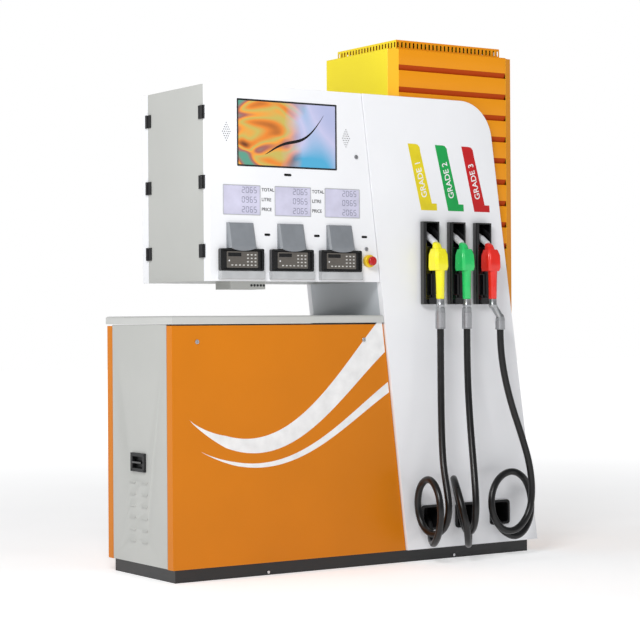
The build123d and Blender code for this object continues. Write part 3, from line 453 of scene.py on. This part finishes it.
# ---- hoses ----
HOSE_DIAMETER = 0.030
HOSE_ROUTES = [
    [(0.332, -0.375, 1.0025), (0.332, -0.375, 0.810), (0.321, -0.391, 0.600), (0.302, -0.425, 0.430),
     (0.284, -0.476, 0.325), (0.273, -0.507, 0.240), (0.268, -0.484, 0.160), (0.262, -0.407, 0.122),
     (0.257, -0.335, 0.158), (0.253, -0.305, 0.245), (0.249, -0.330, 0.335), (0.242, -0.405, 0.374),
     (0.232, -0.478, 0.332), (0.226, -0.511, 0.242), (0.233, -0.490, 0.150), (0.257, -0.418, 0.084),
     (0.292, -0.352, 0.100), (0.320, -0.308, 0.146), (0.340, -0.265, 0.180), (0.343, -0.215, 0.188)],
    [(0.476, -0.375, 1.0025), (0.476, -0.375, 0.810), (0.468, -0.402, 0.600), (0.449, -0.448, 0.425),
     (0.428, -0.488, 0.310), (0.420, -0.502, 0.220), (0.434, -0.466, 0.146), (0.461, -0.388, 0.118),
     (0.480, -0.328, 0.168), (0.478, -0.308, 0.255), (0.446, -0.320, 0.335), (0.398, -0.372, 0.366),
     (0.366, -0.438, 0.324), (0.355, -0.488, 0.245), (0.370, -0.502, 0.155), (0.408, -0.462, 0.084),
     (0.462, -0.395, 0.072), (0.502, -0.348, 0.108), (0.522, -0.312, 0.148), (0.528, -0.265, 0.180),
     (0.528, -0.215, 0.188)],
    [(0.661, -0.375, 0.9975), (0.661, -0.375, 0.920), (0.680, -0.379, 0.790), (0.716, -0.385, 0.660),
     (0.762, -0.393, 0.535), (0.801, -0.401, 0.410), (0.813, -0.407, 0.290), (0.793, -0.409, 0.190),
     (0.726, -0.409, 0.118), (0.643, -0.407, 0.118), (0.591, -0.401, 0.185), (0.589, -0.391, 0.275),
     (0.639, -0.379, 0.350), (0.726, -0.367, 0.380), (0.809, -0.355, 0.345), (0.856, -0.345, 0.265),
     (0.850, -0.352, 0.172), (0.800, -0.366, 0.104), (0.738, -0.372, 0.082), (0.692, -0.350, 0.108),
     (0.688, -0.310, 0.148), (0.704, -0.262, 0.180), (0.716, -0.215, 0.188)],
]
HOSE_LENGTHS = [1.892, 1.948, 1.982]


def route_curve(name, route, thickness):
    """A smooth NURBS curve whose control points are the route's points."""
    curve = bpy.data.curves.new(name, "CURVE")
    curve.dimensions = "3D"
    curve.resolution_u = 12
    curve.bevel_depth = thickness / 2
    curve.bevel_resolution = 6
    spline = curve.splines.new("NURBS")
    spline.points.add(len(route) - 1)
    for point, place in zip(spline.points, route):
        point.co = (*place, 1.0)
    spline.order_u = 3
    spline.use_endpoint_u = True
    return curve


def mesh_of_curve(curve):
    """The curve's evaluated mesh."""
    source = bpy.data.objects.new("curve_source", curve)
    bpy.context.scene.collection.objects.link(source)
    bpy.context.view_layer.update()
    mesh = bpy.data.meshes.new_from_object(source)
    bpy.data.objects.remove(source)
    return mesh


def add_hose(number, route):
    """A slack hose: a fixed tube along its route between the outlet and the nozzle."""
    line = mesh_of_curve(route_curve(f"hose_{number}_line", route, 0.0))
    tube = mesh_of_curve(route_curve(f"hose_{number}_tube", route, HOSE_DIAMETER))
    smooth(tube, 60)
    piece = bpy.data.objects.new(f"slack_hose_{number}", tube)
    bpy.context.scene.collection.objects.link(piece)
    tube.materials.clear()
    tube.materials.append(M["rubber"])
    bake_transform(piece)
    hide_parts(f"hose_{number}")


# ---- painted casings ----
def cladding_material(face):
    """0 front; 1 left side, a yellower copy as painted light; 2 left corner strip, a brighter copy as
    painted light; 3 the grooves' undersides, a darker copy as painted shade.
    """
    normal = face.normal
    # downward faces get painted shade; the left side and left corner strip get painted light
    if normal.z < -0.3:
        return 3
    if normal.x < -0.95:
        return 1
    if normal.x < -0.2:
        return 2
    return 0


def stud_material(face):
    """1 on the two earthing studs that stand out of the plinth's front."""
    return 1 if face.calc_center_median().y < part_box("plinth_frame")[0].y + 0.0045 else 0


def add_casings():
    """Rounded-edge skins of the sheet-metal pieces."""
    skin("plinth_frame", M["plinth"], 0.0012, stud_material, [M["chrome"]])
    for node in ("cabinet_frame", "mast_frame"):
        skin(node, M["galvanised"])
    skin("cabinet_side_panel", M["grey"])
    skin("cabinet_top_cover", M["cover"])
    for node in ("front_cabinet_door", "rear_cabinet_door"):
        skin(node, M["orange"])
    for node in ("front_sail_panel", "rear_sail_panel", "head_front_door", "head_rear_door"):
        skin(node, M["white"])
    skin("head_casing", M["grey"])
    skin("head_junction_box", M["grey"])
    skin("module_side_wall", M["inner_wall"])
    # painted light on the left side and corner strip, painted shade in the grooves, picked by face
    # direction
    extra = [M["left_side_painted_light"], M["corner_painted_light"], M["groove_painted_shade"]]
    skin("mast_claddings", M["mast_front"], SHEET_EDGE, cladding_material, extra)
    skin("mast_vent_cap", M["mast_front"], 0.0008, cladding_material, extra)
    for node in ("casing_hinge_leaves", "front_hinge_leaves", "rear_hinge_leaves", "isolator_housing",
                 "hose_outlets"):
        skin(node, M["black"])
    skin("isolator_handle", M["gloss_black"])
    for node in ("front_door_left_lock", "front_door_right_lock", "rear_door_lock",
                 "head_front_upper_lock", "head_front_lower_lock", "head_rear_lock"):
        skin(node, M["chrome"], 0.0008)


def add_gland_plugs():
    """Rubber plugs in the junction box's cable holes."""
    low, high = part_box("head_junction_box")
    profile = [(-0.003, 0.0035), (0.0, 0.0037), (0.0004, 0.0052), (0.0016, 0.0050), (0.0022, 0.0040)]
    turned = Matrix.Rotation(math.radians(90), 4, "X")
    for i in range(5):
        place = Matrix.Translation((-0.526 + i * 0.015, low.y, high.z - 0.016)) @ turned
        lathe(f"gland_plug_{i + 1}", profile, place, M["black"], "cabinet")


def add_hidden_works():
    """Pump, motor and electronics behind the doors."""
    for node in ("pump_unit", "pump_motor"):
        skin(node, M["iron"], 0.004)
    for node in ("flow_meters", "product_pipes", "pump_pulley", "motor_pulley"):
        skin(node, M["cast"], 0.001)
    skin("drive_belt", M["rubber"], 0.001)
    skin("control_electronics", M["black"], 0.002)


# ---- door graphics ----
def door_right_edge(z):
    """The orange door's slanted right edge, a little inside it."""
    low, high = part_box("front_cabinet_door")
    lean, inset = 0.112, 0.006
    return high.x - lean * (z - low.z) / (high.z - low.z) - inset


def ribbon(name, start, rise, widths, body):
    """A tapered vinyl wave from a point at the left to the door's right edge."""
    steps = 60
    upper, lower = [], []
    for i in range(steps + 1):
        s = i / steps
        centre = start[1] + rise[0] * s + rise[1] * math.sin(math.pi * (1.15 * s ** 0.9 + 0.02))
        half = widths[0] + (widths[1] - widths[0]) * s ** 1.4
        for edge, sign in ((upper, 1), (lower, -1)):
            z = centre + sign * half * min(1.0, 6 * s)
            edge.append((start[0] + s * (door_right_edge(z) - start[0]), z))
    plate(name, lower + upper[::-1], DOOR_FACE, 0.0004, M["vinyl"], body)


def add_door_graphics():
    """Generic sweeping bands on the front door."""
    ribbon("door_band_broad", (-0.85, 0.66), (0.22, -0.20), (0.02, 0.075), "front_door")
    ribbon("door_band_thin", (-0.80, 0.53), (0.16, -0.13), (0.006, 0.022), "front_door")


# ---- sail graphics ----
TAG_TOP, TAG_BOTTOM = 1.800, 1.516
TAG_LEFT = [0.228, 0.375, 0.520]
TAG_LEAN, TAG_WIDTH = 0.068, 0.068
FOOT_WIDTH, FOOT_HEIGHT = 0.086, 0.030


def tag_outline(left):
    """A strip that leans to the right as it falls, with a rounded shoulder and a foot."""
    foot_left, shoulder = left + TAG_LEAN + 0.003, left + TAG_WIDTH
    foot_top = TAG_BOTTOM + FOOT_HEIGHT
    foot = [(foot_left, TAG_BOTTOM), (foot_left + FOOT_WIDTH, TAG_BOTTOM),
            (foot_left + FOOT_WIDTH - 0.002, foot_top), (foot_left + 0.058, foot_top)]
    rounding = [(shoulder, TAG_TOP - 0.034), (shoulder - 0.004, TAG_TOP - 0.014),
                (shoulder - 0.014, TAG_TOP - 0.003), (shoulder - 0.028, TAG_TOP)]
    return foot + rounding + [(left, TAG_TOP)]


def add_grade_tags():
    """Slanted colour strips above the nozzles, each with its grade's number."""
    for number, left, (colour, _, tone) in zip(NUMBERS, TAG_LEFT, GRADES):
        sheet = plastic(f"tag_{colour}_vinyl", tone, 0.35, 150.0, 0.0001)
        plate(f"grade_tag_{number}", tag_outline(left), SAIL_FACE, 0.0005, sheet, "cabinet")
        words_x, words_z = left + 0.104, TAG_BOTTOM + 0.058
        lettering(f"grade_words_{number}", f"GRADE {number}", words_x, SAIL_FACE - 0.0008, words_z,
                  0.040, M["vinyl"], "cabinet", math.radians(105))


# ---- head front ----
SEGMENTS = {
    "0": "abcdef", "1": "bc", "2": "abged", "3": "abgcd", "4": "fgbc", "5": "afgcd",
    "6": "afgedc", "7": "abc", "8": "abcdefg", "9": "abcdfg",
}


def digit_bars(digit, x, y, z, height):
    """Seven-segment bars of one digit, its lower left corner at x, z."""
    width, bar = height * 0.52, height * 0.11
    places = {
        "a": (0.5, 1.0, True), "b": (1.0, 0.75, False), "c": (1.0, 0.25, False), "d": (0.5, 0.0, True),
        "e": (0.0, 0.25, False), "f": (0.0, 0.75, False), "g": (0.5, 0.5, True),
    }
    bars = []
    for name in SEGMENTS[digit]:
        across, up, level = places[name]
        long_x, long_z = (width * 0.86, bar) if level else (bar, height * 0.42)
        bars.append((x + across * width, y, z + up * height, long_x, 0.0004, long_z))
    return bars


def add_displays():
    """Three sales displays with rows of digits, and the row names beside them."""
    skin("sales_displays", M["lcd"], 0.0008)
    low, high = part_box("sales_displays")
    face = low.y
    pitch = (high.x - low.x - 0.190) / 2
    rows = [("2065", 0.030), ("0965", -0.009), ("2065", -0.049)]
    bars = []
    for column in range(3):
        centre = low.x + 0.095 + column * pitch
        middle = (low.z + high.z) / 2
        for digits, height in rows:
            for i, digit in enumerate(digits):
                bars += digit_bars(digit, centre + 0.002 + i * 0.019, face - 0.0002, middle + height, 0.022)
        frame_ring(f"display_frame_{column + 1}", centre, middle, 0.173, 0.117, 0.003, HEAD_FACE, 0.001,
                   M["ledge"], "head_door")
    boxes("display_digits", bars, M["ink"], "head_door", 0.0001)
    for column in range(2):
        left = low.x + 0.095 + column * pitch + 0.0945
        for words, height in (("TOTAL", 0.038), ("LITRE", -0.002), ("PRICE", -0.042)):
            lettering(f"row_{words.lower()}_{column + 1}", words, left, HEAD_FACE - 0.0003,
                      (low.z + high.z) / 2 + height, 0.019, M["label"], "head_door")


def streak_outline(x, z):
    """A thin dark wave that rises across the picture and tapers at both ends."""
    steps, upper, lower = 30, [], []
    for i in range(steps + 1):
        share = i / steps
        half = 0.006 * math.sin(math.pi * share) ** 0.7 + 0.0004
        centre = z - 0.085 + 0.175 * share ** 1.6 + 0.02 * math.sin(2 * math.pi * share)
        along = x - 0.11 + 0.29 * share
        upper.append((along, centre + half))
        lower.append((along, centre - half))
    return upper + lower[::-1]


def add_screen():
    """The screen's module, its picture and a thin dark border."""
    low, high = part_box("advert_screen")
    skin("advert_screen", M["black"])
    width, height = high.x - low.x - 0.032, high.z - low.z - 0.028
    x, z = (low.x + high.x) / 2, (low.z + high.z) / 2
    plate("screen_picture", rectangle(x, z, width - 0.012, height - 0.012), low.y, 0.0006, M["picture"],
          "head_door")
    plate("screen_streak", streak_outline(x, z), low.y - 0.0006, 0.0002, M["gloss_black"], "head_door")
    frame_ring("screen_frame", x, z, width - 0.008, height - 0.008, 0.005, HEAD_FACE, 0.0012, M["black"],
               "head_door")


KEYPAD_CENTRES = [-0.614, -0.371, -0.128]
KEYPAD_Z = 1.290


def add_keypads():
    """Bezels, plates with keys, hoods and ledges."""
    skin("keypads", M["gloss_black"], 0.0015)
    skin("keypad_hoods", M["hood"], 0.004)
    skin("keypad_ledges", M["ledge"], 0.002)
    plate_face = HEAD_FACE - 0.0185
    key_size, pitch_x, pitch_z = (0.0085, 0.0012, 0.0050), 0.018, 0.014
    bottom_row = KEYPAD_Z - 0.022
    keys, windows, lamps = [], [], []
    for number, x in zip(NUMBERS, KEYPAD_CENTRES):
        sheet = rounded_rectangle(x, KEYPAD_Z, 0.148, 0.066, 0.004)
        plate(f"keypad_sheet_{number}", sheet, HEAD_FACE - 0.018, 0.0005, M["keypad"], "head_door")
        for row in range(4):
            for column in range(3):
                place = (x + 0.026 + column * pitch_x, plate_face, bottom_row + row * pitch_z)
                keys.append((*place, *key_size))
        for column in range(4):
            keys.append((x - 0.048 + column * pitch_x, plate_face, bottom_row, *key_size))
        windows.append((x - 0.036, plate_face, KEYPAD_Z + 0.0205, 0.062, 0.0012, 0.0150))
        lamps.append((x - 0.062, plate_face, KEYPAD_Z - 0.004, 0.006, 0.002, 0.006))
        hood_lip(number, x)
    boxes("keypad_keys", keys, M["key"], "head_door", 0.0004)
    boxes("keypad_windows", windows, M["gloss_black"], "head_door", 0.0004)
    boxes("keypad_lamps", lamps, M["vinyl"], "head_door", 0.0009)


def hood_lip(number, x):
    """The hood's lower edge, a shallow arc that dips in the middle."""
    half, top, dip, steps = 0.059, 1.3385, 0.011, 12
    arc = []
    for i in range(steps + 1):
        s = -1 + 2 * i / steps
        arc.append((x + s * half, top - 0.002 - dip * (1 - s * s)))
    outline = arc + [(x + half, top), (x - half, top)]
    plate(f"hood_lip_{number}", outline, HEAD_FACE - 0.0235, 0.0070, M["hood"], "head_door",
          0.0015)


def add_small_controls():
    """Sensor windows and the emergency stop."""
    skin("sensor_windows", M["gloss_black"], 0.0003)
    skin("stop_button_collar", M["stop_yellow"], 0.001)
    skin("stop_button", M["stop_red"], 0.001)


# ---- nozzles ----
BOOT_PITCH = 0.144


def spout_place(x):
    """The spout's base on the nozzle, with Z along the spout."""
    tilt = math.radians(32)
    return Matrix.Translation((x, -0.355, 1.364)) @ Matrix.Rotation(tilt - math.pi / 2, 4, "X")


def hull_shell(shape, points):
    """Adds the closed faceted shell around some points."""
    corners = [shape.verts.new(point) for point in points]
    made = bmesh.ops.convex_hull(shape, input=corners)
    loose = [item for item in made["geom_interior"] if isinstance(item, bmesh.types.BMVert)]
    bmesh.ops.delete(shape, geom=loose, context="VERTS")


def ring(x, z, half_width, front, back, cut):
    """A level eight-cornered section: a rectangle with its corners cut off."""
    left, right = x - half_width, x + half_width
    outline = [(left + cut, front), (left, front + cut), (left, back - cut), (left + cut, back),
               (right - cut, back), (right, back - cut), (right, front + cut), (right - cut, front)]
    return [(across, along, z) for across, along in outline]


def nozzle_shell(number, x, colour):
    """Faceted hand cover, its neck towards the spout, and a tapered grip, in place of the CAD body."""
    shape = bmesh.new()
    cover = ring(x, 1.253, 0.031, -0.395, -0.329, 0.009) + ring(x, 1.270, 0.035, -0.399, -0.328, 0.010)
    cover += ring(x, 1.322, 0.0335, -0.397, -0.329, 0.010) + ring(x, 1.348, 0.026, -0.387, -0.336, 0.008)
    hull_shell(shape, cover)
    neck = ring(x, 1.335, 0.019, -0.384, -0.338, 0.008) + ring(x, 1.366, 0.0165, -0.368, -0.336, 0.008)
    neck += ring(x, 1.3755, 0.0125, -0.356, -0.334, 0.006)
    hull_shell(shape, neck)
    bmesh.ops.recalc_face_normals(shape, faces=shape.faces)
    bmesh.ops.dissolve_limit(shape, angle_limit=math.radians(1), verts=shape.verts, edges=shape.edges)
    mesh = bpy.data.meshes.new(f"hand_cover_{number}")
    shape.to_mesh(mesh)
    shape.free()
    smooth(mesh)
    body = f"nozzle_{number}"
    node = f"nozzle_body_{number}"
    cover_piece = piece_from_mesh(f"hand_cover_{number}", mesh, [colour], body, [node])
    add_bevel(cover_piece, 0.0035, 3)
    grip = [(0.0, 0.0150), (0.002, 0.0172), (0.006, 0.0180), (0.060, 0.0185), (0.105, 0.0200),
            (0.128, 0.0215)]
    grip_place = Matrix.Translation((x, -0.375, 1.131))
    lathe(f"grip_{number}", grip, grip_place, colour, body)
    guard = [(x, -0.3275, 1.196, 0.014, 0.003, 0.116), (x, -0.3425, 1.1395, 0.014, 0.033, 0.003)]
    boxes(f"lever_guard_{number}", guard, M["black"], body)


def spout_profile():
    """Distance and radius along the spout: nine ribs at its root, then a plain tube to its open tip."""
    rib, groove, pitch = 0.0136, 0.0112, 0.006
    profile = [(0.014, 0.0120)]
    for i in range(9):
        along = 0.018 + i * pitch
        profile += [(along, rib), (along + 0.003, rib), (along + 0.0035, groove), (along + 0.0055, groove)]
    return profile + [(0.075, 0.0114), (0.148, 0.0112), (0.150, 0.0104), (0.150, 0.0092), (0.120, 0.0090)]


def sleeve_profile(length):
    """Distance and radius along a crimped hose sleeve."""
    wide, narrow, end, pitch = 0.0216, 0.0204, 0.0185, 0.0062
    profile = [(0.0, end), (0.002, narrow)]
    for i in range(int((length - 0.006) / pitch)):
        along = 0.003 + i * pitch
        profile += [(along, wide), (along + pitch * 0.55, wide), (along + pitch * 0.7, narrow)]
    return profile + [(length - 0.001, narrow), (length, end)]


def add_nozzle(number, colour):
    """Hand cover and grip, ribbed spout, lever and hose coupling."""
    body = f"nozzle_{number}"
    nozzle_shell(number, HOSE_ROUTES[0][0][0] + BOOT_PITCH * (number - 1), colour)
    skin(f"nozzle_lever_{number}", M["black"], 0.001)
    skin(f"hose_coupling_{number}", M["steel"], 0.001)
    low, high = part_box(f"nozzle_spout_{number}")
    place = spout_place((low.x + high.x) / 2)
    lathe(f"ribbed_spout_{number}", spout_profile(), place, M["aluminium"], body,
          [f"nozzle_spout_{number}"])
    hose_top = Vector(HOSE_ROUTES[number - 1][0])
    sleeve_top = 1.046 if number == 3 else 1.082
    lathe(f"hose_sleeve_{number}", sleeve_profile(sleeve_top - hose_top.z), Matrix.Translation(hose_top),
          M["sleeve"], body)


# ---- studio ----
def add_area_light(name, place, target, size, power, colour=(1, 1, 1)):
    """A soft panel aimed at a point."""
    data = bpy.data.lights.new(name, "AREA")
    data.shape = "SQUARE"
    data.size = size
    data.energy = power
    data.color = colour
    light = bpy.data.objects.new(name, data)
    light.location = place
    light.rotation_euler = (Vector(target) - Vector(place)).to_track_quat("-Z", "Y").to_euler()
    bpy.context.scene.collection.objects.link(light)


def floor_material():
    """Pale paper whose own glow grows with distance, so that it fades into the backdrop."""
    material = Material("floor_paper")
    tone = material.noise(2.0)
    material.colour(material.ramp(tone, [(0.3, srgb(243, 243, 243)), (0.7, srgb(248, 248, 248))]))
    material.set(Roughness=0.7, Emission_Color=srgb(255, 255, 255))
    reach = material.nodes.new("ShaderNodeVectorMath")
    reach.operation = "LENGTH"
    material.links.new(material.position, reach.inputs[0])
    glow = material.nodes.new("ShaderNodeMapRange")
    for field, value in (("From Min", 1.5), ("From Max", 9.0), ("To Min", 0.40), ("To Max", 0.85)):
        glow.inputs[field].default_value = value
    material.links.new(reach.outputs["Value"], glow.inputs["Value"])
    material.links.new(glow.outputs["Result"], material.shader.inputs["Emission Strength"])
    return material.data


def add_floor():
    """A plain floor, staged so that it isn't part of the object."""
    shape = bmesh.new()
    bmesh.ops.create_grid(shape, x_segments=2, y_segments=2, size=30)
    mesh = bpy.data.meshes.new("floor")
    shape.to_mesh(mesh)
    shape.free()
    floor = bpy.data.objects.new("floor", mesh)
    bpy.context.scene.collection.objects.link(floor)
    mesh.materials.append(floor_material())


def add_surroundings():
    """Soft light from all round, and a white backdrop that only the camera sees."""
    world = bpy.data.worlds.new("studio")
    world.use_nodes = True
    tree = world.node_tree
    soft_light = tree.nodes["Background"]
    soft_light.inputs["Color"].default_value = (0.97, 0.98, 1.0, 1.0)
    soft_light.inputs["Strength"].default_value = 0.34
    backdrop = tree.nodes.new("ShaderNodeBackground")
    backdrop.inputs["Color"].default_value = (1.0, 1.0, 1.0, 1.0)
    backdrop.inputs["Strength"].default_value = 1.0
    chooser = tree.nodes.new("ShaderNodeMixShader")
    ray = tree.nodes.new("ShaderNodeLightPath")
    tree.links.new(ray.outputs["Is Camera Ray"], chooser.inputs["Fac"])
    tree.links.new(soft_light.outputs["Background"], chooser.inputs[1])
    tree.links.new(backdrop.outputs["Background"], chooser.inputs[2])
    tree.links.new(chooser.outputs["Shader"], tree.nodes["World Output"].inputs["Surface"])
    bpy.context.scene.world = world


def add_studio():
    """Floor, surroundings and two soft panels."""
    add_floor()
    add_surroundings()
    bpy.context.scene.view_settings.view_transform = "Standard"
    add_area_light("key", (-3.0, -3.0, 3.4), (0.0, -0.3, 1.5), 1.3, 108)
    add_area_light("left", (-4.5, 0.3, 2.8), (0.2, 0, 1.8), 1.6, 36)


add_camera()
for number, route, length in zip(NUMBERS, HOSE_ROUTES, HOSE_LENGTHS):
    add_hose(number, route)
add_casings()
add_gland_plugs()
add_hidden_works()
add_door_graphics()
add_grade_tags()
add_displays()
add_screen()
add_keypads()
add_small_controls()
skin("nozzle_boots", M["boot"], 0.003)
for number, (_, colour, _) in zip(NUMBERS, GRADES):
    add_nozzle(number, colour)
add_studio()
